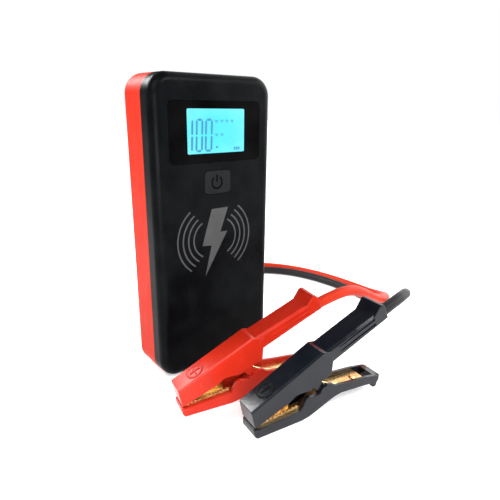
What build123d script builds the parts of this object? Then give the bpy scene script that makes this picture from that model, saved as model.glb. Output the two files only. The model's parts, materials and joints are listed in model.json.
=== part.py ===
from build123d import *
import os
from math import atan2, cos, degrees, pi, radians, sin, tan

# A lithium jump starter pack that stands on its bottom edge, with its lead set plugged in at the
# back and its two battery clamps lying on the ground in front of it.
# Millimetres. +X is the pack's right side, +Y its back, +Z up.
# The origin is on the ground, under the middle of the pack.

os.makedirs("parts", exist_ok=True)

# ---- Pack ----
PACK_W, PACK_D, PACK_H = 85.0, 35.0, 186.0
CORNER_R = 12.0            # corners of the outline
COVER_D = 12.0             # depth of the black front cover, down to the seam
SEAM = 0.2                 # gap between cover and shell
WALL = 2.2
FRONT_ROUND = 5.5
REAR_ROUND = 5.0
FRONT_Y = -PACK_D / 2
REAR_Y = PACK_D / 2
COVER_BACK_Y = FRONT_Y + COVER_D - SEAM / 2
SHELL_FRONT_Y = FRONT_Y + COVER_D + SEAM / 2
COVER_INNER_Y = FRONT_Y + WALL
SHELL_INNER_Y = REAR_Y - WALL

# ---- Display, button and charging pad ----
WINDOW_W, WINDOW_H, WINDOW_Z = 65.0, 35.0, 153.6
WINDOW_T = 1.2
LCD_W, LCD_H, LCD_Z = 41.0, 25.2, 154.1
LCD_FLANGE = 1.6           # how far the module reaches behind the window's edge
BUTTON_W, BUTTON_H, BUTTON_Z = 19.0, 14.0, 124.0
BUTTON_PROUD = 0.4
BUTTON_TRAVEL = 0.8
PAD_Z = 91.7
COIL_R, COIL_BORE_R = 22.0, 9.0
FERRITE = 46.0

# ---- Inside ----
BOARD_W, BOARD_T = 60.0, 1.6
BOARD_FRONT_Y = -9.2
BOARD_Z = (121.0, 172.0)
CELL_W, CELL_T, CELL_H = 68.0, 5.4, 84.0
CELL_COUNT = 3
CELL_FIRST_Y, CELL_GAP, CELL_Z = -4.0, 0.3, 46.0
SCREW_X, SCREW_Z = 34.0, (9.0, 177.0)
SCREW_R, HEAD_R, BOSS_R = 1.25, 2.9, 3.5
HEAD_DEPTH = 2.4

# ---- Outlets on the right side and the top ----
PORT_Y = 4.0
USB_A_Z, USB_C_Z = 160.0, 142.0
TORCH_X, TORCH_Y, TORCH_R = -20.0, 4.0, 4.5

# ---- Jump socket and plug, at the back ----
SOCKET_X, SOCKET_Z = 16.0, 30.0
SOCKET_W, SOCKET_H = 30.0, 17.0
NOSE_W, NOSE_H = 24.0, 12.0
NOSE_TIP_Y = 4.6
GRIP_W, GRIP_H = 28.0, 15.0
GRIP_Y = (REAR_Y + 0.4, 36.0)
BOOT_END_Y = 48.0
CORE_PITCH = 10.0          # spacing of the two conductors

# ---- Leads ----
CABLE_D = 7.0
ARC_SHARE = 0.45           # share of the shorter run that each bend takes
END_GAP = 0.4              # between a lead's end and what it runs into
RED_ROUTE = [
    (36.5, -66.2, 47.8), (53, -69.8, 53.2), (72, -70.5, 52.7), (92, -67, 42.7), (114, -61, 31),
    (136, -53.5, 23), (155, -43, 16.2), (169, -28.5, 9), (176, -9.5, 4.4), (177.5, 12, 3.8),
    (176, 35, 3.8), (172, 57, 3.8), (164.5, 79, 3.8), (150, 102, 3.8), (128, 120.5, 3.8),
    (99, 127, 4), (70, 123, 7), (44, 111, 14), (23, 93, 22), (12, 71, 28.2), (11, BOOT_END_Y, SOCKET_Z),
]
BLACK_ROUTE = [
    (57.7, -99.3, 47.8), (74.5, -100.7, 53.4), (92, -97, 53.2), (108, -88.2, 46.5), (122.5, -77, 36),
    (135, -65, 24), (146, -53, 12.8), (155.5, -41, 6.2), (162.5, -26, 3.8), (166, -7, 3.9),
    (167.5, 13, 3.8), (166.5, 34, 3.8), (162.5, 56, 3.8), (154, 77, 3.8), (138, 96, 3.8),
    (113, 108, 3.8), (86, 110, 5), (61, 105, 10), (39, 93, 17.3), (23.5, 73, 27),
    (21, BOOT_END_Y, SOCKET_Z),
]

# ---- Clamps, each in its own frame: x from tip to tail, z up, tip at the origin ----
CLAMPS = {
    "red": {"at": (-51.9, -47.0), "yaw": -12.24},
    "black": {"at": (-32.0, -86.2), "yaw": -8.33},
}
SHELL_T = 1.5
JAW_HALF = 7.6             # half the width of the upper jaw
LOWER_HALF = 7.5
LOWER_INNER = 5.5
HANDLE_HALF = (7.0, 8.1)   # at the step and at the tail
UPPER_INNER = JAW_HALF - SHELL_T
HANDLE_INNER = HANDLE_HALF[0] - SHELL_T
PIVOT_X, PIVOT_Z = 42.0, 22.3
PIN_R, PIN_HALF = 1.6, 6.9
PIN_CLEARANCE = 0.05
EAR_Y = (4.3, 5.7)
EAR_R = 3.6
JAW_BEVEL, HANDLE_BEVEL = 0.9, 1.4     # along the top edges
EDGE_ROUND, LOWER_ROUND = 0.5, 0.6
LOWER_CORNER_R = 2.8       # corners of the lower half's outline, seen from above
GROOVE_SLOPE = 22.6
WIRE_R = 0.55
COIL_MEAN_R = 2.65
COIL_TURNS = 7
PLATE_T = 0.9              # thickness of the brass contacts
TOOTH_PITCH, TOOTH_DEPTH = 2.4, 0.7
MARK_X, MARK_R = 12.2, 4.6
TAIL_START, TAIL_END = (66.0, 40.4), (90.5, 47.8)

JAW_TOP = ((0.0, 17.1), (45.0, 39.6))
HANDLE_TOP = ((45.6, 38.3), (82.6, 53.6))
JAW_SLOPE = degrees(atan2(JAW_TOP[1][1] - JAW_TOP[0][1], JAW_TOP[1][0] - JAW_TOP[0][0]))


def save(name, shape):
    shape.label = name
    export_step(shape, f"parts/{name}.step")


def slab(w, h, r, y_front, y_back, z, x=0.0):
    """A plate that faces the front, with rounded corners."""
    face = Plane(origin=(x, y_back, z), x_dir=(1, 0, 0), z_dir=(0, -1, 0))
    return extrude(face * RectangleRounded(w, h, r), y_back - y_front)


def block(x, y, z):
    """A box between two limits on each axis."""
    size = [limits[1] - limits[0] for limits in (x, y, z)]
    middle = [(limits[0] + limits[1]) / 2 for limits in (x, y, z)]
    return Pos(*middle) * Box(*size)


def rod(start, end, r, end_r=None):
    """A cylinder, or a cone, from one point to another."""
    axis = Vector(*end) - Vector(*start)
    section = Plane(origin=start, z_dir=axis)
    if end_r is None:
        return extrude(section * Circle(r), axis.length)
    return loft([section * Circle(r), Plane(origin=end, z_dir=axis) * Circle(end_r)])


def edges_at_y(shape, y):
    return [e for e in shape.edges() if abs(e.bounding_box().min.Y - y) < 1e-4
            and abs(e.bounding_box().max.Y - y) < 1e-4]


# ---- Pack parts ----

def front_cover():
    cover = slab(PACK_W, PACK_H, CORNER_R, FRONT_Y, COVER_BACK_Y, PACK_H / 2)
    cover = fillet(edges_at_y(cover, FRONT_Y), FRONT_ROUND)
    hollow = slab(PACK_W - 2 * WALL, PACK_H - 2 * WALL, CORNER_R - WALL,
                  COVER_INNER_Y, COVER_BACK_Y, PACK_H / 2)
    hollow = fillet(edges_at_y(hollow, COVER_INNER_Y), FRONT_ROUND - WALL)
    cover -= hollow
    for x in (-SCREW_X, SCREW_X):
        for z in SCREW_Z:
            cover += rod((x, COVER_BACK_Y, z), (x, COVER_INNER_Y - 0.5, z), BOSS_R)
            cover -= rod((x, COVER_BACK_Y, z), (x, COVER_INNER_Y + 1.5, z), SCREW_R + 0.05)
    cover -= slab(WINDOW_W + 0.3, WINDOW_H + 0.3, 3.6, FRONT_Y, FRONT_Y + WINDOW_T + 0.05, WINDOW_Z)
    cover -= slab(LCD_W + 2 * LCD_FLANGE + 0.4, LCD_H + 2 * LCD_FLANGE + 0.4, 1.2,
                  FRONT_Y, COVER_INNER_Y, LCD_Z)
    cover -= slab(BUTTON_W + 0.5, BUTTON_H + 0.5, 2.7, FRONT_Y, COVER_INNER_Y, BUTTON_Z)
    return cover


def display_window():
    window = slab(WINDOW_W, WINDOW_H, 3.5, FRONT_Y, FRONT_Y + WINDOW_T, WINDOW_Z)
    return window - slab(LCD_W + 0.2, LCD_H + 0.2, 0.9, FRONT_Y, FRONT_Y + WINDOW_T, LCD_Z)


def lcd_panel():
    glass_y = FRONT_Y + 0.25
    step_y = FRONT_Y + WINDOW_T + 0.1
    glass = slab(LCD_W, LCD_H, 0.8, glass_y, step_y, LCD_Z)
    frame = slab(LCD_W + 2 * LCD_FLANGE, LCD_H + 2 * LCD_FLANGE, 1.0, step_y, step_y + 3.2, LCD_Z)
    return glass + frame


def power_button():
    flange_y = COVER_INNER_Y + 0.1
    cap = slab(BUTTON_W, BUTTON_H, 2.5, FRONT_Y - BUTTON_PROUD, flange_y + 1.0, BUTTON_Z)
    cap = fillet(edges_at_y(cap, FRONT_Y - BUTTON_PROUD), 0.3)
    return cap + slab(BUTTON_W + 2.4, BUTTON_H + 2.4, 3.0, flange_y, flange_y + 1.0, BUTTON_Z)


def button_switch():
    pressed_y = COVER_INNER_Y + 1.1 + BUTTON_TRAVEL
    body = block((-3, 3), (BOARD_FRONT_Y - 2.8, BOARD_FRONT_Y - 0.05), (BUTTON_Z - 3, BUTTON_Z + 3))
    return body + rod((0, BOARD_FRONT_Y - 2.8, BUTTON_Z), (0, pressed_y + 0.05, BUTTON_Z), 1.7)


def main_board():
    low, high = BOARD_Z
    board = slab(BOARD_W, high - low, 2.0, BOARD_FRONT_Y, BOARD_FRONT_Y + BOARD_T, (low + high) / 2)
    chip_y = BOARD_FRONT_Y + BOARD_T
    for x, z, w, h in ((-18, 150, 9, 9), (4, 158, 12, 8), (16, 136, 7, 10), (-6, 134, 8, 6)):
        board += block((x - w / 2, x + w / 2), (chip_y - 0.1, chip_y + 1.3), (z - h / 2, z + h / 2))
    return board


def charging_coil():
    """Flat spiral, as rings on a thin carrier."""
    y = COVER_INNER_Y + 0.1
    ring = rod((0, y + 0.5, PAD_Z), (0, y + 1.3, PAD_Z), COIL_R)
    ring -= rod((0, y + 0.5, PAD_Z), (0, y + 1.3, PAD_Z), COIL_BORE_R)
    turns = 6
    pitch = (COIL_R - COIL_BORE_R) / turns
    for i in range(turns):
        outer = COIL_R - i * pitch
        turn = rod((0, y, PAD_Z), (0, y + 0.6, PAD_Z), outer)
        ring += turn - rod((0, y, PAD_Z), (0, y + 0.6, PAD_Z), outer - pitch * 0.7)
    return ring


def ferrite_sheet():
    y = COVER_INNER_Y + 1.5
    return slab(FERRITE, FERRITE, 3.0, y, y + 0.8, PAD_Z)


def cell(i):
    y = CELL_FIRST_Y + i * (CELL_T + CELL_GAP)
    pouch = slab(CELL_W, CELL_H, 3.0, y, y + CELL_T, CELL_Z + CELL_H / 2)
    return fillet(edges_at_y(pouch, y) + edges_at_y(pouch, y + CELL_T), 1.4)


def cell_tab(x):
    """Busbar that joins the cells' tabs on one side."""
    low = CELL_Z + CELL_H + 0.2
    y_end = CELL_FIRST_Y + CELL_COUNT * (CELL_T + CELL_GAP) - CELL_GAP
    bar = block((x - 6, x + 6), (CELL_FIRST_Y, y_end), (low + 3.2, low + 4.0))
    for i in range(CELL_COUNT):
        y = CELL_FIRST_Y + i * (CELL_T + CELL_GAP) + CELL_T / 2
        bar += block((x - 4, x + 4), (y - 0.2, y + 0.2), (low, low + 3.6))
    return bar


def rear_shell():
    shell = slab(PACK_W, PACK_H, CORNER_R, SHELL_FRONT_Y, REAR_Y, PACK_H / 2)
    shell = fillet(edges_at_y(shell, REAR_Y), REAR_ROUND)
    hollow = slab(PACK_W - 2 * WALL, PACK_H - 2 * WALL, CORNER_R - WALL,
                  SHELL_FRONT_Y, SHELL_INNER_Y, PACK_H / 2)
    shell -= fillet(edges_at_y(hollow, SHELL_INNER_Y), REAR_ROUND - WALL)
    for x in (-SCREW_X, SCREW_X):
        for z in SCREW_Z:
            shell += rod((x, SHELL_FRONT_Y, z), (x, SHELL_INNER_Y + 0.5, z), BOSS_R)
            shell -= rod((x, SHELL_FRONT_Y, z), (x, REAR_Y, z), SCREW_R + 0.2)
            shell -= rod((x, REAR_Y - HEAD_DEPTH, z), (x, REAR_Y, z), HEAD_R + 0.2)
    shell -= slab(SOCKET_W + 0.2, SOCKET_H + 0.2, 3.1, SHELL_INNER_Y, REAR_Y, SOCKET_Z, SOCKET_X)
    wall_x = (PACK_W / 2 - WALL - 1, PACK_W / 2)
    shell -= block(wall_x, (PORT_Y - 3.0, PORT_Y + 3.0), (USB_A_Z - 6.7, USB_A_Z + 6.7))
    usb_c_hole = Plane(origin=(wall_x[0], PORT_Y, USB_C_Z), x_dir=(0, 1, 0), z_dir=(1, 0, 0))
    shell -= extrude(usb_c_hole * RectangleRounded(3.5, 9.3, 1.7), WALL + 1)
    shell -= rod((TORCH_X, TORCH_Y, PACK_H - WALL - 1), (TORCH_X, TORCH_Y, PACK_H), TORCH_R + 0.1)
    return shell


def housing_screw(x, z):
    head_y = REAR_Y - HEAD_DEPTH + 0.05
    screw = rod((x, head_y + 1.8, z), (x, head_y, z), HEAD_R)
    screw += rod((x, head_y, z), (x, COVER_INNER_Y + 2.0, z), SCREW_R)
    for w, h in ((0.8, 3.4), (3.4, 0.8)):
        screw -= block((x - w / 2, x + w / 2), (head_y + 0.8, head_y + 1.8), (z - h / 2, z + h / 2))
    return screw


def usb_a_port():
    x = (PACK_W / 2 - 14.5, PACK_W / 2 - 0.2)
    port = block(x, (PORT_Y - 2.85, PORT_Y + 2.85), (USB_A_Z - 6.55, USB_A_Z + 6.55))
    port -= block((x[0] + 1.5, x[1]), (PORT_Y - 2.4, PORT_Y + 2.4), (USB_A_Z - 6.1, USB_A_Z + 6.1))
    return port


def usb_a_tongue():
    x = (PACK_W / 2 - 12.9, PACK_W / 2 - 2.0)
    return block(x, (PORT_Y + 0.3, PORT_Y + 2.1), (USB_A_Z - 5.6, USB_A_Z + 5.6))


def usb_c_port():
    x = PACK_W / 2 - 9.5
    face = Plane(origin=(x, PORT_Y, USB_C_Z), x_dir=(0, 1, 0), z_dir=(1, 0, 0))
    port = extrude(face * RectangleRounded(3.2, 9.0, 1.55), 9.3)
    port -= extrude(face.offset(1.0) * RectangleRounded(2.5, 8.3, 1.2), 8.3)
    return port + extrude(face.offset(0.8) * Rectangle(0.7, 6.6), 6.5)


def port_board():
    y = PORT_Y + 2.95
    return block((18, PACK_W / 2 - WALL - 0.6), (y, y + 1.4), (136, 171))


def torch_lens():
    lens = rod((TORCH_X, TORCH_Y, PACK_H - 2.4), (TORCH_X, TORCH_Y, PACK_H + 0.1), TORCH_R)
    return fillet(lens.edges().sort_by(Axis.Z)[-1], 0.6)


def torch_led():
    z = PACK_H - 6.0
    board = block((TORCH_X - 7, TORCH_X + 7), (TORCH_Y - 5, TORCH_Y + 5), (z - 1.2, z))
    lamp = block((TORCH_X - 2.5, TORCH_X + 2.5), (TORCH_Y - 2.5, TORCH_Y + 2.5), (z - 0.1, z + 1.2))
    return board + lamp + rod((TORCH_X, TORCH_Y, z + 1.1), (TORCH_X, TORCH_Y, z + 2.4), 1.8, 1.0)


# ---- Socket and plug ----

def core_x():
    return SOCKET_X - CORE_PITCH / 2, SOCKET_X + CORE_PITCH / 2


def jump_socket():
    back_y = 0.6
    socket = slab(SOCKET_W, SOCKET_H, 3.0, back_y, REAR_Y, SOCKET_Z, SOCKET_X)
    floor_y = NOSE_TIP_Y - 0.6
    socket -= slab(NOSE_W + 0.5, NOSE_H + 0.5, 2.2, floor_y, REAR_Y, SOCKET_Z, SOCKET_X)
    for x in core_x():
        socket -= rod((x, back_y, SOCKET_Z), (x, floor_y, SOCKET_Z), 2.1)
    return socket


def socket_pin(x):
    return rod((x, -3.0, SOCKET_Z), (x, 13.5, SOCKET_Z), 2.0)


def jump_plug():
    plug = slab(NOSE_W, NOSE_H, 2.0, NOSE_TIP_Y, GRIP_Y[0] + 1, SOCKET_Z, SOCKET_X)
    grip = slab(GRIP_W, GRIP_H, 3.5, *GRIP_Y, SOCKET_Z, SOCKET_X)
    plug += fillet(edges_at_y(grip, GRIP_Y[0]), 1.0)
    for y in range(22, 34, 3):
        for side in (-1, 1):
            z = SOCKET_Z + side * GRIP_H / 2
            plug -= block((SOCKET_X - 9, SOCKET_X + 9), (y - 0.6, y + 0.6), (z - 0.5, z + 0.5))
    for x in core_x():
        plug -= rod((x, NOSE_TIP_Y, SOCKET_Z), (x, 17.2, SOCKET_Z), 3.1)
    return plug


def plug_sleeve(x):
    sleeve = rod((x, NOSE_TIP_Y + 0.4, SOCKET_Z), (x, 17.0, SOCKET_Z), 3.0)
    return sleeve - rod((x, NOSE_TIP_Y + 0.4, SOCKET_Z), (x, 14.2, SOCKET_Z), 2.1)


def plug_boot():
    """Rubber back of the plug, with a tapered, ribbed nozzle for each lead."""
    start_y = GRIP_Y[1] + 0.05
    boot = slab(GRIP_W - 2, GRIP_H - 2, 3.0, start_y, start_y + 2.5, SOCKET_Z, SOCKET_X)
    for x in core_x():
        boot += rod((x, start_y + 2, SOCKET_Z), (x, BOOT_END_Y - END_GAP, SOCKET_Z), 4.9, 4.1)
    return boot


def cable(name, route):
    """Tube of straight runs joined by arcs, each as large as its two runs allow."""
    points = [Vector(*p) for p in route]
    runs = [b - a for a, b in zip(points, points[1:])]
    radii = []
    for before, after in zip(runs, runs[1:]):
        turn = radians(before.get_angle(after))
        radii.append(ARC_SHARE * min(before.length, after.length) / tan(turn / 2))
    path = FilletPolyline(*points, radius=radii)
    tube = sweep(Plane(origin=points[0], z_dir=runs[0]) * Circle(CABLE_D / 2), path=path)
    swept = pi * (CABLE_D / 2) ** 2 * path.length
    print(name, f"length {path.length:.1f}", f"volume {tube.volume / swept:.4f} of section x length",
          f"lowest {tube.bounding_box().min.Z:.2f}", "radii", [round(r, 1) for r in radii])
    return tube


# ---- Clamp parts ----

def across(outline, half, inner=None):
    """An outline in the clamp's side view, as thick as the clamp, or as two side plates."""
    solid = extrude(Plane.XZ * Polygon(*outline, align=None), half, both=True)
    if inner is not None:
        solid -= Box(400, 2 * inner, 400)
    return solid


def plan(outline_half, x0, x1):
    """Limits a clamp's half width along its length."""
    first, last = outline_half
    corners = [(x0, -first), (x1, -last), (x1, last), (x0, first)]
    return extrude(Plane.XY * Polygon(*corners, align=None), 90)


def on_jaw(x):
    """A plane on top of the upper jaw, x along it and z square to it."""
    (x0, z0), _ = JAW_TOP
    slope = radians(JAW_SLOPE)
    z = z0 + (x - x0) * tan(slope)
    return Plane(origin=(x, 0, z), x_dir=(cos(slope), 0, sin(slope)), z_dir=(-sin(slope), 0, cos(slope)))


def long_top_edges(shape, line):
    """The shape's two long edges that lie above a line of the side view."""
    (x0, z0), (x1, z1) = line
    slope = (z1 - z0) / (x1 - x0)
    return [e for e in shape.edges() if e.length > (x1 - x0) / 2
            and all(abs(p.Z - z0 - (p.X - x0) * slope) < 0.01 for p in (e @ 0, e @ 1))]


def upper_shell(positive):
    """Upper jaw and handle, a channel that is open underneath."""
    jaw_outline = [JAW_TOP[0], JAW_TOP[1], (53.4, 38.2), (52.6, 24.3), (44, 20.6), (38, 17.8),
                   (31, 18.2), (28, 18.0), (24.5, 15.2), (2.4, 6.4)]
    handle_outline = [HANDLE_TOP[0], HANDLE_TOP[1], (85.4, 58.0), (86.6, 58.9), (88.4, 59.0),
                      (89.4, 58.2), (93.3, 49.9), (50.0, 30.2)]
    jaw = across(jaw_outline, JAW_HALF) & plan((6.9, JAW_HALF), -1, 53.4)
    handle = across(handle_outline, 9) & plan(HANDLE_HALF, 45, 94)
    jaw = chamfer(long_top_edges(jaw, JAW_TOP), JAW_BEVEL)
    handle = chamfer(long_top_edges(handle, HANDLE_TOP), HANDLE_BEVEL)
    jaw, handle = (fillet(form.edges(), EDGE_ROUND) for form in (jaw, handle))
    jaw_hollow = [(2.6, 16.0), (45.0, 37.3), (55, 37.3), (55, 10), (2.6, 3.5)]
    handle_hollow = [(40, 34.2), (46.0, 36.7), (96, 57.4), (96, 40), (40, 15)]
    shell = jaw + handle
    shell -= across(jaw_hollow, UPPER_INNER) & plan((5.3, UPPER_INNER), 2, 51.5)
    shell -= across(handle_hollow, HANDLE_INNER)
    shell -= extrude(Plane.XZ * Pos(PIVOT_X, PIVOT_Z) * Circle(PIN_R + 0.02), PIN_HALF + 0.1, both=True)
    for side in (-1, 1):
        for rise in (-1.0, 2.3):
            groove = Plane(origin=(70.5 - 0.38 * rise, side * 7.9, 43.6 + 0.92 * rise),
                           z_dir=(0, side, 0), x_dir=(1, 0, 0))
            turn = Rot(0, 0, -GROOVE_SLOPE * side)
            shell -= extrude(groove * turn * RectangleRounded(28, 1.3, 0.6), 0.9, both=True)
    face = on_jaw(MARK_X)
    shell += extrude(face * (Circle(MARK_R) - Circle(MARK_R - 0.8)), 0.35)
    shell += extrude(face * Rectangle(5.4, 0.9), 0.35)
    if positive:
        shell += extrude(face * Rectangle(0.9, 5.4), 0.35)
    return shell


def lower_shell():
    """Lower jaw, which lies flat, and lower handle, a channel that is open on top."""
    outline = [(2.0, 5.2), (2.5, 1.2), (3.6, 0.0), (33.0, 0.0), (38.5, 1.0), (46, 3.9), (56, 7.7),
               (61.5, 8.6), (78.0, 7.4), (86.5, 6.6), (87.0, 3.8), (89.6, 3.6), (90.4, 6.4),
               (93.2, 9.6), (92.8, 10.7), (81.0, 12.8), (70.0, 13.7), (57.0, 15.2), (53.2, 17.6),
               (50.0, 18.2), (47.6, 17.0), (46.0, 14.6), (43.5, 13.3), (40.3, 13.6), (37.6, 14.6), (35.2, 13.2),
               (32.4, 7.4)]
    hollow = [(3.8, 1.8), (33.0, 1.8), (38.0, 2.7), (46.0, 5.9), (56, 9.5), (61.5, 10.3), (78.0, 9.2),
              (87.6, 8.4), (87.6, 30), (3.8, 30)]
    footprint = Pos((1.9 + 93.3) / 2, 0) * RectangleRounded(93.3 - 1.9, 2 * LOWER_HALF, LOWER_CORNER_R)
    body = across(outline, LOWER_HALF) & extrude(footprint, 30)
    shell = fillet(body.edges(), LOWER_ROUND) - across(hollow, LOWER_INNER)
    ear = [(44.6, 5.2), (51.5, 7.6), (50.6, 15.0), (45.6, PIVOT_Z), (39.4, 20.0), (44.6, 14.5)]
    shell += across(ear, EAR_Y[1], EAR_Y[0])
    tip = extrude(Plane.XZ * Pos(PIVOT_X, PIVOT_Z) * Circle(EAR_R), EAR_Y[1], both=True)
    shell += tip - Box(400, 2 * EAR_Y[0], 400)
    hole = Circle(PIN_R + PIN_CLEARANCE)
    shell -= extrude(Plane.XZ * Pos(PIVOT_X, PIVOT_Z) * hole, EAR_Y[1] + 0.1, both=True)
    shell -= block((82.8, 87.3), (-4.6, 4.6), (0, 12))
    return shell


def toothed(start, end, back, sign):
    """Side outline of a contact: a saw edge from start to end, closed through the back points."""
    run = Vector(end[0] - start[0], end[1] - start[1])
    along = run.normalized()
    out = Vector(-along.Y, along.X) * sign
    count = int(run.length / TOOTH_PITCH)
    step = run.length / count
    edge = []
    for i in range(count):
        base = Vector(*start) + along * (i * step)
        tip = base + along * (step / 2) + out * TOOTH_DEPTH
        edge += [(base.X, base.Y), (tip.X, tip.Y)]
    return edge + [end] + back


def strip(centre, half):
    """A bent plate that follows a line of the side view."""
    points = [Vector(*point) for point in centre]
    ends = [points[0], *points, points[-1]]
    above, below = [], []
    for before, here, after in zip(ends, points, ends[2:]):
        along = (after - before).normalized()
        square = Vector(-along.Y, along.X) * PLATE_T / 2
        above.append(tuple(here + square)[:2])
        below.append(tuple(here - square)[:2])
    return across(above + below[::-1], half)


def upper_contact():
    """U-shaped toothed brass, with a strip back to the cable's crimp."""
    flanges = toothed((4.6, 8.2), (29.8, 18.0), [(29.8, 21.6), (4.6, 11.6)], -1)
    half = 5.2
    contact = across(flanges, half, half - PLATE_T) & plan((4.9, half), 4, 30)
    contact += strip([(4.6, 11.2), (29.8, 21.2)], half - 0.3) & plan((4.8, half), 4, 30)
    contact += strip([(29.0, 20.9), (33.5, 27.5), (46.0, 33.6), (56.6, 37.6)], 2.3)
    return contact


def lower_contact():
    """U-shaped toothed brass in the lower jaw, with a strip along the lower handle."""
    half = LOWER_INNER - 0.2
    flanges = toothed((31.4, 9.2), (4.4, 6.3), [(4.4, 2.1), (31.4, 2.1)], -1)
    contact = across(flanges, half, half - PLATE_T)
    contact += strip([(4.4, 2.5), (33.0, 2.5)], half)
    contact += strip([(32.0, 2.5), (38.0, 3.5), (42.5, 5.3), (44.6, 7.2), (46.2, 11.2), (48.3, 12.6),
                      (52.5, 12.4), (57.5, 11.3), (61.5, 11.0)], 4.1)
    contact += strip([(57.0, 10.45), (61.5, 11.0), (78.0, 10.0), (82.2, 9.7)], half)
    contact -= Pos(75.9, 0, 10) * Cylinder(1.3, 6)
    return contact


def contact_rivet():
    x, z = 75.9, 10.05
    return rod((x, 0, z - 0.5), (x, 0, z + 0.95), 1.25) + rod((x, 0, z + 0.8), (x, 0, z + 1.5), 2.1, 1.4)


def pivot_pin():
    return rod((PIVOT_X, -PIN_HALF, PIVOT_Z), (PIVOT_X, PIN_HALF, PIVOT_Z), PIN_R)


def torsion_spring():
    """Close coils round the pin, with one leg under the upper handle and one on the lower."""
    pitch = 2 * WIRE_R * 0.98
    first = -pitch * (COIL_TURNS - 1) / 2
    ring = Plane(origin=(PIVOT_X, 0, PIVOT_Z), x_dir=(1, 0, 0), z_dir=(0, 1, 0))
    spring = None
    for i in range(COIL_TURNS):
        turn = ring.offset(first + i * pitch) * Torus(COIL_MEAN_R, WIRE_R)
        spring = turn if spring is None else spring + turn
    last = -first
    spring += rod((PIVOT_X - 1.6, last, PIVOT_Z + 2.1), (58.0, last, 38.6), WIRE_R)
    spring += rod((PIVOT_X, first, PIVOT_Z - COIL_MEAN_R), (60.5, first, 12.6), WIRE_R)
    return spring


def crimp():
    """Brass barrel on the bared end of the cable."""
    (x0, z0), (x1, z1) = TAIL_START, TAIL_END
    slope = (z1 - z0) / (x1 - x0)
    return rod((57.0, 0, z0 - (x0 - 57.0) * slope), (x0 - 0.1, 0, z0 - 0.1 * slope), 2.4)


def cable_tail():
    """The stretch of cable that lies in the upper handle."""
    (x0, z0), (x1, z1) = TAIL_START, TAIL_END
    slope = (z1 - z0) / (x1 - x0)
    return rod((x0, 0, z0), (x1 - END_GAP, 0, z1 - END_GAP * slope), CABLE_D / 2)


def build_pack():
    save("front_cover", front_cover())
    save("display_window", display_window())
    save("lcd_panel", lcd_panel())
    save("power_button", power_button())
    save("button_switch", button_switch())
    save("main_board", main_board())
    save("charging_coil", charging_coil())
    save("ferrite_sheet", ferrite_sheet())
    for i in range(CELL_COUNT):
        save(f"cell_{i + 1}", cell(i))
    save("cell_tab_left", cell_tab(-18.0))
    save("cell_tab_right", cell_tab(18.0))
    save("rear_shell", rear_shell())
    for x, side in ((-SCREW_X, "left"), (SCREW_X, "right")):
        for z, end in zip(SCREW_Z, ("bottom", "top")):
            save(f"screw_{end}_{side}", housing_screw(x, z))
    save("usb_a_port", usb_a_port())
    save("usb_a_tongue", usb_a_tongue())
    save("usb_c_port", usb_c_port())
    save("port_board", port_board())
    save("torch_lens", torch_lens())
    save("torch_led", torch_led())


def build_leads():
    save("jump_socket", jump_socket())
    save("jump_plug", jump_plug())
    save("plug_boot", plug_boot())
    for x, colour in zip(core_x(), ("red", "black")):
        save(f"socket_pin_{colour}", socket_pin(x))
        save(f"plug_sleeve_{colour}", plug_sleeve(x))
    save("red_cable", cable("red_cable", RED_ROUTE))
    save("black_cable", cable("black_cable", BLACK_ROUTE))


def build_clamp(colour, at, yaw):
    place = Pos(*at, 0) * Rot(0, 0, yaw)
    save(f"{colour}_upper_shell", place * upper_shell(colour == "red"))
    save(f"{colour}_lower_shell", place * lower_shell())
    save(f"{colour}_upper_contact", place * upper_contact())
    save(f"{colour}_lower_contact", place * lower_contact())
    save(f"{colour}_rivet", place * contact_rivet())
    save(f"{colour}_pivot_pin", place * pivot_pin())
    save(f"{colour}_spring", place * torsion_spring())
    save(f"{colour}_crimp", place * crimp())
    save(f"{colour}_cable_tail", place * cable_tail())


build_pack()
build_leads()
for colour, pose in CLAMPS.items():
    build_clamp(colour, pose["at"], pose["yaw"])
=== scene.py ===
import json
from math import cos, pi, radians, sin

import bmesh
import bpy
from mathutils import Matrix, Vector


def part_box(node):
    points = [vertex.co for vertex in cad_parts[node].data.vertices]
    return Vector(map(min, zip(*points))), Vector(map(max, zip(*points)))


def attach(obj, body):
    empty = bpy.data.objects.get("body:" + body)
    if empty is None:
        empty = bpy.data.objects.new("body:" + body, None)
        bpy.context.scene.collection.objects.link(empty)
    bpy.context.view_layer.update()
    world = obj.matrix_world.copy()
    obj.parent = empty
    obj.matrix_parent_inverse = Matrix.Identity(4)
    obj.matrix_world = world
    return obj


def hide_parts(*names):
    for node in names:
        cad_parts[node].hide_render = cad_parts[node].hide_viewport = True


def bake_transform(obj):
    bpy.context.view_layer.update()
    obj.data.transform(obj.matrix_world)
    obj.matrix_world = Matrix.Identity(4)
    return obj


# A jump starter pack that stands on the floor, with its two battery clamps in front of it.
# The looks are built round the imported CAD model, in metres, in its frame: +X is the pack's right,
# +Y its back and +Z up, with the origin on the floor under the middle of the pack.
# Sizes given in millimetres are multiplied by MM where they are used. The sizes of the camera,
# the lights and the room are in metres, and so are the leads' lengths.

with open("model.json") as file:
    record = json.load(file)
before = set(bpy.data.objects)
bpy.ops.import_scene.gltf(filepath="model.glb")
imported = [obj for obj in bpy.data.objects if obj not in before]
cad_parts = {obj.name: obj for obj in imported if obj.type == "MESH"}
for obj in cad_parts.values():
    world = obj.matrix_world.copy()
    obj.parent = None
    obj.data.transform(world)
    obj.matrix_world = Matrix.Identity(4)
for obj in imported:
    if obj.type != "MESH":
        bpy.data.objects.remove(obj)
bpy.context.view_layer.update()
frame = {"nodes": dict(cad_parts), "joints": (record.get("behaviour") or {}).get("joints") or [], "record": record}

MM = 0.001

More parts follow.
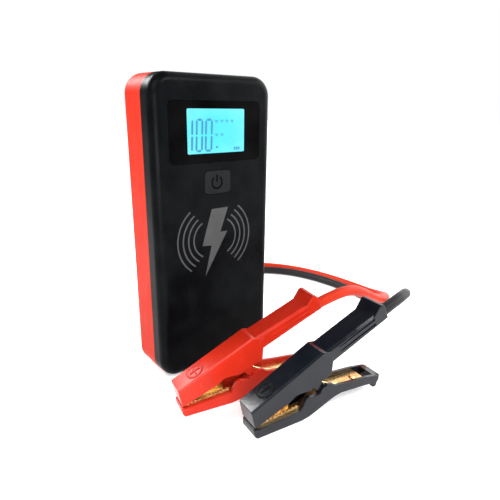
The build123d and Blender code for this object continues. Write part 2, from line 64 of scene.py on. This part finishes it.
# ---- Camera ----
CAMERA_AT = (-0.15984, -0.24508, 0.16815)
CAMERA_TURN, CAMERA_TILT, CAMERA_ROLL = 39.277, 17.52, 0.72   # degrees: right of +Y, down, roll
LENS_MM = 32.7

# ---- Leads ----
LEAD_D = 7.0
OVERLAP = 1.0          # how far a lead reaches into what it meets
RED_ROUTE = [
    (36.5, -66.2, 47.8), (53, -69.8, 53.2), (72, -70.5, 52.7), (92, -67, 42.7), (114, -61, 31),
    (136, -53.5, 23), (155, -43, 16.2), (169, -28.5, 9), (176, -9.5, 4.4), (177.5, 12, 3.8),
    (176, 35, 3.8), (172, 57, 3.8), (164.5, 79, 3.8), (150, 102, 3.8), (128, 120.5, 3.8),
    (99, 127, 4), (70, 123, 7), (44, 111, 14), (23, 93, 22), (12, 71, 28.2), (11, 48, 30),
]
BLACK_ROUTE = [
    (57.7, -99.3, 47.8), (74.5, -100.7, 53.4), (92, -97, 53.2), (108, -88.2, 46.5),
    (122.5, -77, 36), (135, -65, 24), (146, -53, 12.8), (155.5, -41, 6.2), (162.5, -26, 3.8),
    (166, -7, 3.9), (167.5, 13, 3.8), (166.5, 34, 3.8), (162.5, 56, 3.8), (154, 77, 3.8),
    (138, 96, 3.8), (113, 108, 3.8), (86, 110, 5), (61, 105, 10), (39, 93, 17.3),
    (23.5, 73, 27), (21, 48, 30),
]
# Two points along each lead, from where it lies still to its clamp's upper jaw; lead() reads them, but nothing
# bends the lead, which stays still.
RED_BEND = ((79.0, -28.0, 47.8), (36.5, -66.2, 47.8))
BLACK_BEND = ((107.0, -54.0, 47.8), (57.7, -99.3, 47.8))

# ---- Clamps, in their own frame: x from tip to tail, z up from the floor ----
PIVOT = Vector((42.0, 0.0, 22.3))
JAW_TOP = ((0.0, 17.1), (45.0, 39.6))   # ends of the upper jaw's top line, x and z
MARK_X, MARK_R = 12.2, 4.75
MARK_RISE, MARK_ROOT = 0.36, 0.1        # how far a mark stands over the jaw, and reaches into it
MARK_STROKE, MARK_BAR = 1.2, 6.4
WIRE_R = 0.55
COIL_MEAN_R = 2.65
COIL_TURNS, COIL_SHORT = 7, 0.42        # turns, and how much of a turn the last one lacks
COIL_START = 132                        # degrees round the pin, from the tail upwards
COIL_STEPS = 16                         # points in each turn
UPPER_LEG = ((58.0, 38.6), (50.0, 31.5))    # end and bend of the spring's upper leg, x and z
LOWER_LEG = ((50.0, 16.9), (60.5, 13.2))    # bend and end of its lower leg

# ---- Printed marks ----
PRINT_PROUD = 0.03     # how far a printed mark stands in front of its face
PRINT_DEEP = 0.05      # how far it reaches into it
DIGIT_Z = (143.05, 151.85, 160.65)   # middles of the lower, middle and upper bars of a digit
DIGIT_STROKE, DIGIT_GAP = 1.3, 0.2
DIGIT_SLANT = 0.045    # sideways shift per unit of height
ONE_X = -17.2
ZEROS_X = ((-14.2, -10.4), (-7.8, -3.75))
SIGNS = ((-0.2, 159.6), (3.7, 159.8), (7.4, 159.8), (11.2, 159.7), (-0.2, 151.9), (3.7, 151.9))
SIGN_BARS = ((0.45, 2.2), (-0.45, 1.5))     # rise and width of the two bars of each small sign
SIGN_STROKE = 0.5
DOT = (0.0, 144.9, 1.6, 1.0)                # x, z, width, height, and so for the bars below
BATTERY_BARS = [(13.2 + 1.4 * i, 143.6, 1.0, 1.9) for i in range(3)] + [(17.1, 143.6, 0.4, 1.0)]
POWER_X, POWER_Z, POWER_R = -0.7, 123.9, 3.65
POWER_ARC = (125, 415)                      # degrees, from one side of the gap round to the other
POWER_BAR = (POWER_X, POWER_Z + 2.6, 1.0, 4.4)
CHARGE_X, CHARGE_Z = -2.2, 88.9
CHARGE_ARCS = ((23.4, 53), (19.63, 55), (15.86, 57), (12.09, 62))   # radius, half angle in degrees
ARC_OFFSET = 3.7       # the arcs' centres are this far to either side of the sign's
BOLT = ((-2.4, 18.7), (10, 18.7), (4, 3.3), (9.4, 3.2), (-8, -24.5), (-2.8, -4.6), (-9.7, -3.9))

# ---- Colours ----
# The marks' tones are painted shade: darker than their jaws, they stand in for the shade in the moulded marks'
# relief.
MARK_SHADE_TONES = (("red", (0.42, 0.016, 0.008)), ("black", (0.001, 0.001, 0.0012)))
BRIGHT_BRASS, DULL_BRASS = (0.98, 0.70, 0.33), (0.72, 0.42, 0.14)

# ---- Room ----
FLOOR_R = 6.0
FLOOR_FADE = (0.25, 1.0)       # the floor's own glow grows from this near the middle to this far
FLOOR_GLOW = (0.42, 0.95)      # its strength at the two
WORLD_FADE = (0.4, 0.85)       # the room grows bright between these X parts of a direction
WORLD_GLOW = (0.10, 3.0)       # its strength at the two
LIT_POINT = (0.03, -0.02, 0.06)
LIGHTS = (                     # name, place, what it faces, size and power
    ("key", (-0.55, -0.55, 0.75), LIT_POINT, (0.6, 0.6), 4.6),
    ("fill", (0.75, -0.45, 0.45), LIT_POINT, (0.5, 0.7), 3.0),
    ("front", (-0.32, -0.5, 0.1), (0.0, -0.09, 0.02), (0.3, 0.16), 1.6),
    ("edge", (0.2, -0.5, 0.52), (0.02, -0.08, 0.03), (0.25, 0.2), 1.8),
    ("glint", (-0.2, 0.36, 0.44), (-0.02, -0.08, 0.02), (0.34, 0.2), 5.0),
)


def camera():
    data = bpy.data.cameras.new("camera")
    data.sensor_width = 36.0
    data.lens = LENS_MM
    data.clip_start, data.clip_end = 0.01, 50.0
    made = bpy.data.objects.new("camera", data)
    made.matrix_world = (
        Matrix.Translation(CAMERA_AT)
        @ Matrix.Rotation(radians(-CAMERA_TURN), 4, "Z")
        @ Matrix.Rotation(radians(90 - CAMERA_TILT), 4, "X")
        @ Matrix.Rotation(radians(CAMERA_ROLL), 4, "Z")
    )
    bpy.context.scene.collection.objects.link(made)
    bpy.context.scene.camera = made


def add(name, data):
    """A new object in the scene, from mesh or curve data."""
    made = bpy.data.objects.new(name, data)
    bpy.context.scene.collection.objects.link(made)
    return made


def paint(mesh, material):
    """Gives a mesh this one material."""
    mesh.materials.clear()
    mesh.materials.append(material)


def map_range(tree, value, low, high, to_low, to_high):
    """A node's value in the range from low to high, stretched to another range and held there."""
    made = tree.nodes.new("ShaderNodeMapRange")
    limits = {"From Min": low, "From Max": high, "To Min": to_low, "To Max": to_high}
    for socket, number in limits.items():
        made.inputs[socket].default_value = number
    tree.links.new(value, made.inputs["Value"])
    return made.outputs["Result"]


# ---- Materials ----

class Finish:
    """A procedural material, with short calls for the patterns that the finishes share."""

    def __init__(self, name, colour, roughness, **sockets):
        self.material = bpy.data.materials.new(name)
        self.material.use_nodes = True
        self.tree = self.material.node_tree
        self.shader = self.tree.nodes["Principled BSDF"]
        self.shader.inputs["Base Color"].default_value = (*colour, 1)
        self.shader.inputs["Roughness"].default_value = roughness
        for socket, value in sockets.items():
            self.shader.inputs[socket.replace("_", " ")].default_value = value
        self.place = self.tree.nodes.new("ShaderNodeTexCoord").outputs["Object"]

    def node(self, kind, **settings):
        made = self.tree.nodes.new(kind)
        for name, value in settings.items():
            setattr(made, name, value)
        return made

    def link(self, source, target):
        self.tree.links.new(source, target)

    def noise(self, size, detail=3.0, stretch=(1, 1, 1)):
        """Cloudy values from 0 to 1, with features about size millimetres across."""
        mapping = self.node("ShaderNodeMapping")
        mapping.inputs["Scale"].default_value = stretch
        self.link(self.place, mapping.inputs["Vector"])
        made = self.node("ShaderNodeTexNoise")
        made.inputs["Scale"].default_value = 1 / (size * MM)
        made.inputs["Detail"].default_value = detail
        self.link(mapping.outputs["Vector"], made.inputs["Vector"])
        return made.outputs["Fac"]

    def grains(self, size):
        """Cells about size millimetres across, as distances from their centres."""
        made = self.node("ShaderNodeTexVoronoi")
        made.inputs["Scale"].default_value = 1 / (size * MM)
        self.link(self.place, made.inputs["Vector"])
        return made.outputs["Distance"]

    def spread(self, value, low, high, to_low, to_high):
        return map_range(self.tree, value, low, high, to_low, to_high)

    def mix(self, share, first, second):
        """A colour between two, each a colour or another node's output."""
        made = self.node("ShaderNodeMix", data_type="RGBA")
        self.link(share, made.inputs["Factor"])
        for socket, colour in ((made.inputs[6], first), (made.inputs[7], second)):
            if isinstance(colour, tuple):
                socket.default_value = (*colour, 1)
            else:
                self.link(colour, socket)
        return made.outputs[2]

    def colour(self, value):
        self.link(value, self.shader.inputs["Base Color"])

    def rough(self, value):
        self.link(value, self.shader.inputs["Roughness"])

    def bump(self, height, depth, strength):
        """Relief of so many millimetres from a value."""
        made = self.node("ShaderNodeBump")
        made.inputs["Distance"].default_value = depth * MM
        made.inputs["Strength"].default_value = strength
        self.link(height, made.inputs["Height"])
        self.link(made.outputs["Normal"], self.shader.inputs["Normal"])


def moulded(name, colour, roughness, grain=0.35, relief=0.02, mottle=0.06, **sockets):
    """Moulded plastic: a fine grain, a faint cloudiness and handling marks in its gloss."""
    made = Finish(name, colour, roughness, **sockets)
    cloud = made.noise(14)
    lighter = tuple(min(1.0, c * (1 + mottle) + 0.002) for c in colour)
    darker = tuple(c * (1 - mottle) for c in colour)
    made.colour(made.mix(made.spread(cloud, 0.35, 0.65, 0, 1), darker, lighter))
    marks = made.noise(5, detail=6, stretch=(1, 1, 0.35))
    made.rough(made.spread(marks, 0.3, 0.7, roughness - 0.05, roughness + 0.06))
    made.bump(made.grains(grain), relief, 0.5)
    return made.material


def silicone(name, colour, dust):
    """Soft cable jacket: matte, with a little dust, and slightly uneven."""
    made = Finish(name, colour, 0.45, Specular_IOR_Level=0.1)
    specks = made.noise(0.9, detail=5)
    made.colour(made.mix(made.spread(specks, 0.62, 0.8, 0, 0.5), colour, dust))
    made.rough(made.spread(made.noise(6), 0.3, 0.7, 0.38, 0.52))
    made.bump(made.noise(2.2, detail=2), 0.05, 0.4)
    return made.material


def brass():
    """Stamped brass: drawn streaks and duller patches."""
    made = Finish("brass", BRIGHT_BRASS, 0.34, Metallic=1.0)
    patches = made.noise(5, detail=5)
    made.colour(made.mix(made.spread(patches, 0.38, 0.7, 0, 1), BRIGHT_BRASS, DULL_BRASS))
    streaks = made.noise(0.5, detail=4, stretch=(0.15, 1, 1))
    made.rough(made.spread(streaks, 0.3, 0.7, 0.2, 0.42))
    made.bump(streaks, 0.02, 0.4)
    return made.material


def plated(name, colour, roughness):
    """Plated metal with a faint drawn grain."""
    made = Finish(name, colour, roughness, Metallic=1.0)
    streaks = made.noise(0.4, detail=4, stretch=(1, 0.1, 1))
    made.rough(made.spread(streaks, 0.3, 0.7, roughness - 0.08, roughness + 0.12))
    darker = tuple(c * 0.7 for c in colour)
    made.colour(made.mix(made.spread(made.noise(3), 0.4, 0.7, 0, 0.6), colour, darker))
    made.bump(streaks, 0.01, 0.3)
    return made.material


def backlight():
    """The lit display: cyan, a little paler towards its edges."""
    low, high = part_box("lcd_panel")
    middle = (low + high) / 2
    made = Finish("backlight", (0.02, 0.08, 0.1), 0.25, Specular_IOR_Level=0.2)
    mapping = made.node("ShaderNodeMapping")
    half = (high - low) / 2
    mapping.inputs["Location"].default_value = (-middle.x / half.x, 0, -middle.z / half.z)
    mapping.inputs["Scale"].default_value = (1 / half.x, 0, 1 / half.z)
    made.link(made.place, mapping.inputs["Vector"])
    ball = made.node("ShaderNodeVectorMath", operation="LENGTH")
    made.link(mapping.outputs["Vector"], ball.inputs[0])
    edge = made.spread(ball.outputs["Value"], 0.45, 1.25, 0, 1)
    glow = made.mix(edge, (0.075, 0.80, 1.0), (0.2, 0.88, 1.0))
    cloud = made.spread(made.noise(9, detail=2), 0.35, 0.7, 0, 0.35)
    made.link(made.mix(cloud, glow, (0.05, 0.66, 0.95)), made.shader.inputs["Emission Color"])
    made.shader.inputs["Emission Strength"].default_value = 0.95
    return made.material


def clear_lens():
    """The torch's window, with a dimpled face."""
    made = Finish("lens", (0.93, 0.95, 0.97), 0.08, Transmission_Weight=0.85, IOR=1.49)
    made.bump(made.grains(0.8), 0.08, 0.6)
    made.rough(made.spread(made.noise(2), 0.3, 0.7, 0.05, 0.14))
    return made.material


def dress_nodes():
    """Gives every CAD node the finish of its material slot, and returns the finishes by slot."""
    looks = {
        "cover": moulded("cover_black", (0.0010, 0.0016, 0.0022), 0.3, mottle=0.1,
                         Specular_IOR_Level=0.045),
        "shell": moulded("shell_red", (0.46, 0.019, 0.005), 0.45, mottle=0.03,
                         Specular_IOR_Level=0.06),
        "window": moulded("window_gloss", (0.0008, 0.0008, 0.0009), 0.12, relief=0.004, grain=1.5,
                          Specular_IOR_Level=0.02),
        "lcd": backlight(),
        "button": moulded("button_black", (0.006, 0.007, 0.008), 0.4, grain=0.25,
                          Specular_IOR_Level=0.08),
        "inner_plastic": moulded("inner_plastic", (0.02, 0.02, 0.02), 0.5),
        "board": moulded("board", (0.01, 0.10, 0.045), 0.35, grain=1.2, mottle=0.25),
        "copper": plated("copper", (0.72, 0.33, 0.17), 0.3),
        "ferrite": moulded("ferrite", (0.03, 0.03, 0.032), 0.7, grain=0.8, relief=0.05),
        "cell": plated("pouch_foil", (0.66, 0.68, 0.70), 0.4),
        "steel": plated("steel", (0.62, 0.62, 0.64), 0.25),
        "lens": clear_lens(),
        "lamp": moulded("lamp", (0.8, 0.75, 0.35), 0.5),
        "socket": moulded("socket_black", (0.008, 0.008, 0.009), 0.3),
        "plug": moulded("plug_blue", (0.008, 0.03, 0.20), 0.42),
        "boot": moulded("boot_rubber", (0.012, 0.012, 0.013), 0.62, grain=0.5, relief=0.04),
        "brass": brass(),
        "zinc": plated("zinc", (0.86, 0.66, 0.32), 0.3),
        "red_silicone": silicone("red_silicone", (0.56, 0.030, 0.008), (0.7, 0.09, 0.04)),
        "black_silicone": silicone("black_silicone", (0.018, 0.018, 0.02), (0.06, 0.06, 0.06)),
        "red_clamp": moulded("clamp_red", (0.53, 0.022, 0.008), 0.22, grain=1.6, relief=0.02,
                             Specular_IOR_Level=0.22),
        "black_clamp": moulded("clamp_black", (0.006, 0.007, 0.011), 0.17, grain=1.6, relief=0.02,
                               Specular_IOR_Level=0.32),
    }
    for part in frame["record"]["subparts"]:
        paint(frame["nodes"][part["node"]].data, looks[part["material_slot"]])
    return looks


# ---- Curves ----

def route_curve(name, points, radius):
    """A smooth NURBS line that has the route's points as its control points."""
    data = bpy.data.curves.new(name, "CURVE")
    data.dimensions = "3D"
    spline = data.splines.new("NURBS")
    spline.points.add(len(points) - 1)
    for point, place in zip(spline.points, points):
        point.co = (*place, 1)
    spline.order_u = 3
    spline.use_endpoint_u = True
    spline.resolution_u = 10
    data.bevel_depth = radius
    data.bevel_resolution = 8
    data.use_fill_caps = True
    return data


def mesh_of_curve(name, data):
    holder = bpy.data.objects.new(name, data)
    mesh = bpy.data.meshes.new_from_object(holder)
    bpy.data.objects.remove(holder)
    bpy.data.curves.remove(data)
    mesh.name = name
    return mesh


# ---- Printed marks ----

def arc(x, z, radius, start, end, width=1.0, steps=40):
    """Outline of a round stroke, its angles in degrees from +X towards +Z."""
    angles = [radians(start + (end - start) * i / steps) for i in range(steps + 1)]
    outer, inner = radius + width / 2, radius - width / 2
    return ([(x + outer * cos(a), z + outer * sin(a)) for a in angles]
            + [(x + inner * cos(a), z + inner * sin(a)) for a in reversed(angles)])


def bar(x0, z0, x1, z1, width):
    """Outline of a straight stroke with pointed ends, like a bar of a digit."""
    start, end = Vector((x0, z0)), Vector((x1, z1))
    along = (end - start).normalized() * width / 2
    side = Vector((-along.y, along.x))
    return [tuple(p) for p in (start, start + along + side, end - along + side, end,
                               end - along - side, start + along - side)]


def oblong(x, z, width, height):
    """Outline of a rectangle round its middle."""
    half, rise = width / 2, height / 2
    return [(x - half, z - rise), (x + half, z - rise), (x + half, z + rise), (x - half, z + rise)]


def on_front(node):
    """Places a print on the front face of a CAD node."""
    return Matrix.Translation((0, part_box(node)[0].y, 0))


def printed(name, outlines, place, material, body="root", deep=PRINT_DEEP):
    """Thin raised shapes, drawn in the plane y = 0 to face -Y, and then moved by place."""
    form = bmesh.new()
    for outline in outlines:
        front = [form.verts.new((x * MM, -PRINT_PROUD * MM, z * MM)) for x, z in outline]
        back = [form.verts.new((x * MM, deep * MM, z * MM)) for x, z in outline]
        form.faces.new(front)
        form.faces.new(back[::-1])
        for i, corner in enumerate(front):
            form.faces.new((front[i - 1], back[i - 1], back[i], corner))
    bmesh.ops.recalc_face_normals(form, faces=form.faces)
    mesh = bpy.data.meshes.new(name)
    form.to_mesh(mesh)
    form.free()
    mesh.transform(place)
    mesh.materials.append(material)
    piece = add(name, mesh)
    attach(piece, body)


def digits():
    """The number 100 and a few small signs beside it, on the lit display."""
    low, middle, high = DIGIT_Z

    def stroke(x0, z0, x1, z1):
        (x0, z0), (x1, z1) = ((x + (z - middle) * DIGIT_SLANT, z) for x, z in ((x0, z0), (x1, z1)))
        gap = (Vector((x1, z1)) - Vector((x0, z0))).normalized() * DIGIT_GAP
        return bar(x0 + gap.x, z0 + gap.y, x1 - gap.x, z1 - gap.y, DIGIT_STROKE)

    shapes = [stroke(ONE_X, low, ONE_X, middle), stroke(ONE_X, middle, ONE_X, high)]
    for left, right in ZEROS_X:
        for x in (left, right):
            shapes += [stroke(x, low, x, middle), stroke(x, middle, x, high)]
        shapes += [stroke(left, z, right, z) for z in (low, high)]
    shapes += [oblong(x, z + rise, width, SIGN_STROKE)
               for x, z in SIGNS for rise, width in SIGN_BARS]
    shapes += [oblong(*box) for box in (DOT, *BATTERY_BARS)]
    ink = Finish("display_ink", (0.01, 0.04, 0.08), 0.3, Specular_IOR_Level=0.1)
    cloud = ink.spread(ink.noise(3), 0.3, 0.7, 0, 1)
    tone = ink.mix(cloud, (0.06, 0.27, 0.48), (0.09, 0.34, 0.56))
    ink.link(tone, ink.shader.inputs["Emission Color"])
    ink.shader.inputs["Emission Strength"].default_value = 0.9
    printed("display_digits", shapes, on_front("lcd_panel"), ink.material)


def power_sign():
    """A ring that is open at the top, with an upright bar in the gap."""
    ink = moulded("power_ink", (0.0005, 0.0005, 0.0006), 0.6, relief=0.005, mottle=0,
                  Specular_IOR_Level=0.0)
    shapes = [arc(POWER_X, POWER_Z, POWER_R, *POWER_ARC), oblong(*POWER_BAR)]
    printed("power_sign", shapes, on_front("power_button"), ink, "power_button")


def charging_sign():
    """A bolt between two sets of arcs, on the pad."""
    shapes = []
    for radius, half in CHARGE_ARCS:
        for side, facing in ((1, 0), (-1, 180)):
            shapes.append(arc(CHARGE_X + ARC_OFFSET * side, CHARGE_Z, radius,
                              facing - half, facing + half, steps=64))
    shapes.append([(CHARGE_X + x, CHARGE_Z + z) for x, z in BOLT])
    ink = moulded("pad_ink", (0.045, 0.045, 0.046), 0.5, mottle=0.1, Specular_IOR_Level=0.25)
    printed("charging_sign", shapes, on_front("front_cover"), ink)


# ---- Clamps ----

def clamp_place(colour):
    """From a clamp's own frame to the object's, for points in metres."""
    hinge = next(joint for joint in frame["joints"] if joint["name"] == f"{colour}_jaw_open")
    across = Vector(hinge["axis"])
    along = Vector((across.y, -across.x, 0))
    turn = Matrix((along, across, (0, 0, 1))).transposed().to_4x4()
    return Matrix.Translation(hinge["pos_m"]) @ turn @ Matrix.Translation(-PIVOT * MM)


def polarity_sign(colour, tone):
    """A plus or a minus in a ring, on top of the upper jaw, in a tone darker than the jaw: painted shade of the
    moulded mark's relief.
    """
    (x0, z0), (x1, z1) = JAW_TOP
    along = Vector((x1 - x0, 0, z1 - z0)).normalized()
    normal = Vector((-along.z, 0, along.x))
    at = Vector((MARK_X, 0, z0 + (MARK_X - x0) * along.z / along.x)) + normal * MARK_RISE
    turn = Matrix((along, -normal, along.cross(-normal))).transposed().to_4x4()
    place = clamp_place(colour) @ Matrix.Translation(at * MM) @ turn
    shapes = [arc(0, 0, MARK_R, start, start + 180, width=MARK_STROKE, steps=32)
              for start in (0, 180)]
    shapes.append(oblong(0, 0, MARK_BAR, MARK_STROKE))
    if colour == "red":
        arm = (MARK_BAR - MARK_STROKE) / 2
        shapes += [oblong(0, side * (MARK_STROKE + arm) / 2, MARK_STROKE, arm) for side in (-1, 1)]
    # The ink's tone is painted shade of the moulded ring and bar, not a real print.
    ink = moulded(f"{colour}_mark_shade_ink", tone, 0.4, mottle=0.05, Specular_IOR_Level=0.1)
    printed(f"{colour}_mark", shapes, place, ink, f"{colour}_upper_jaw",
            MARK_RISE + MARK_ROOT)


def spring(colour, material):
    """A close-wound torsion spring round the pivot pin, its legs against the two handles."""
    half = COIL_TURNS * WIRE_R
    line = [(x, half, z) for x, z in UPPER_LEG]
    steps = COIL_TURNS * COIL_STEPS
    for i in range(steps + 1):
        angle = radians(COIL_START) + 2 * pi * (COIL_TURNS - COIL_SHORT) * i / steps
        line.append((PIVOT.x + COIL_MEAN_R * cos(angle), half - 2 * half * i / steps,
                     PIVOT.z + COIL_MEAN_R * sin(angle)))
    line += [(x, -half, z) for x, z in LOWER_LEG]
    place = clamp_place(colour)
    points = [place @ (Vector(point) * MM) for point in line]
    mesh = mesh_of_curve(f"{colour}_coil", route_curve(f"{colour}_coil", points, WIRE_R * MM))
    for polygon in mesh.polygons:
        polygon.use_smooth = True
    paint(mesh, material)
    piece = add(f"{colour}_coil", mesh)
    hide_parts(f"{colour}_spring")
    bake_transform(piece)


# ---- Leads ----

def lead(colour, route, bend, material):
    """A cable that reaches a little into what it meets, and ends on its clamp's upper jaw."""
    points = [Vector(p) * MM for p in route]
    for end, neighbour in ((0, 1), (-1, -2)):
        points[end] += (points[end] - points[neighbour]).normalized() * OVERLAP * MM
    line = [v.co.copy() for v in mesh_of_curve("line", route_curve("line", points, 0)).vertices]
    mesh = mesh_of_curve(f"{colour}_lead", route_curve(f"{colour}_lead", points, LEAD_D / 2 * MM))
    for polygon in mesh.polygons:
        polygon.use_smooth = len(polygon.vertices) == 4
    paint(mesh, material)
    piece = add(f"{colour}_lead", mesh)
    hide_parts(f"{colour}_cable")
    start, end = (Vector(p) * MM for p in bend)
    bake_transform(piece)


# ---- Room ----

def floor():
    """A pale floor with a glow of its own, so that it is plain white further out."""
    made = Finish("floor", (0.9, 0.9, 0.9), 0.6, Specular_IOR_Level=0.1)
    made.colour(made.mix(made.spread(made.noise(60), 0.3, 0.7, 0, 1),
                         (0.89, 0.89, 0.895), (0.91, 0.91, 0.905)))
    made.shader.inputs["Emission Color"].default_value = (1, 1, 1, 1)
    distance = made.node("ShaderNodeVectorMath", operation="LENGTH")
    made.link(made.place, distance.inputs[0])
    glow = made.spread(distance.outputs["Value"], *FLOOR_FADE, *FLOOR_GLOW)
    made.link(glow, made.shader.inputs["Emission Strength"])
    mesh = bpy.data.meshes.new("floor")
    form = bmesh.new()
    bmesh.ops.create_circle(form, cap_ends=True, segments=96, radius=FLOOR_R)
    form.to_mesh(mesh)
    form.free()
    mesh.materials.append(made.material)
    add("floor", mesh)


def surroundings():
    """A white room, bright on the object's right and dim elsewhere, except to the camera."""
    world = bpy.data.worlds.new("studio")
    world.use_nodes = True
    tree = world.node_tree
    sky = tree.nodes["Background"]
    sky.inputs["Color"].default_value = (1, 1, 1, 1)
    direction = tree.nodes.new("ShaderNodeSeparateXYZ")
    tree.links.new(tree.nodes.new("ShaderNodeTexCoord").outputs["Generated"], direction.inputs[0])
    strength = map_range(tree, direction.outputs["X"], *WORLD_FADE, *WORLD_GLOW)
    seen = tree.nodes.new("ShaderNodeMix")
    path = tree.nodes.new("ShaderNodeLightPath")
    tree.links.new(path.outputs["Is Camera Ray"], seen.inputs["Factor"])
    tree.links.new(strength, seen.inputs[2])
    seen.inputs[3].default_value = 1.0
    tree.links.new(seen.outputs[0], sky.inputs["Strength"])
    bpy.context.scene.world = world


def area_light(name, at, target, size, power):
    data = bpy.data.lights.new(name, "AREA")
    data.shape = "RECTANGLE"
    data.size, data.size_y = size
    data.energy = power
    made = add(name, data)
    made.location = at
    made.rotation_euler = (Vector(target) - Vector(at)).to_track_quat("-Z", "Y").to_euler()


def studio():
    """The floor, the room and the soft lights."""
    floor()
    surroundings()
    for light in LIGHTS:
        area_light(*light)
    bpy.context.scene.view_settings.view_transform = "Standard"


camera()
looks = dress_nodes()
digits()
power_sign()
charging_sign()
for colour, tone in MARK_SHADE_TONES:
    polarity_sign(colour, tone)
    spring(colour, looks["zinc"])
lead("red", RED_ROUTE, RED_BEND, looks["red_silicone"])
lead("black", BLACK_ROUTE, BLACK_BEND, looks["black_silicone"])
studio()
